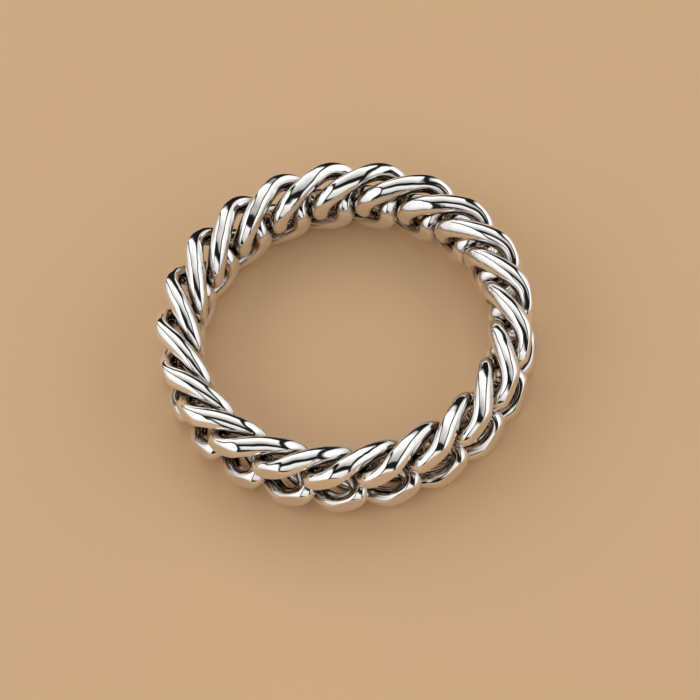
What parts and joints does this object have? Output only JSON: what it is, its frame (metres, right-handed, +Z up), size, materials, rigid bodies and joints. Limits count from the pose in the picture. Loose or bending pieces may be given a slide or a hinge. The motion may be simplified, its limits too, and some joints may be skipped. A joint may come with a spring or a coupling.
{
  "type": "chain ring",
  "caption": "Finger ring made of a closed band of interlocked curb chain links, ground flat inside and outside, in polished silver.",
  "frame": {"origin": "centre of the band, on the surface that the ring lies on", "axes": "+Z up along the axis of the finger hole; -Y is the side nearest the viewer in the picture, +X its right"},
  "size_m": [0.0228, 0.0228, 0.0048],
  "materials": {
    "silver": "high polish"
  },
  "bodies": {
    "root": {"link_01": "silver", "link_02": "silver", "link_03": "silver", "link_04": "silver", "link_05": "silver", "link_06": "silver", "link_07": "silver", "link_08": "silver", "link_09": "silver", "link_10": "silver", "link_11": "silver", "link_12": "silver", "link_13": "silver", "link_14": "silver", "link_15": "silver", "link_16": "silver", "link_17": "silver", "link_18": "silver", "link_19": "silver", "link_20": "silver", "link_21": "silver"}
  },
  "joints": []
}
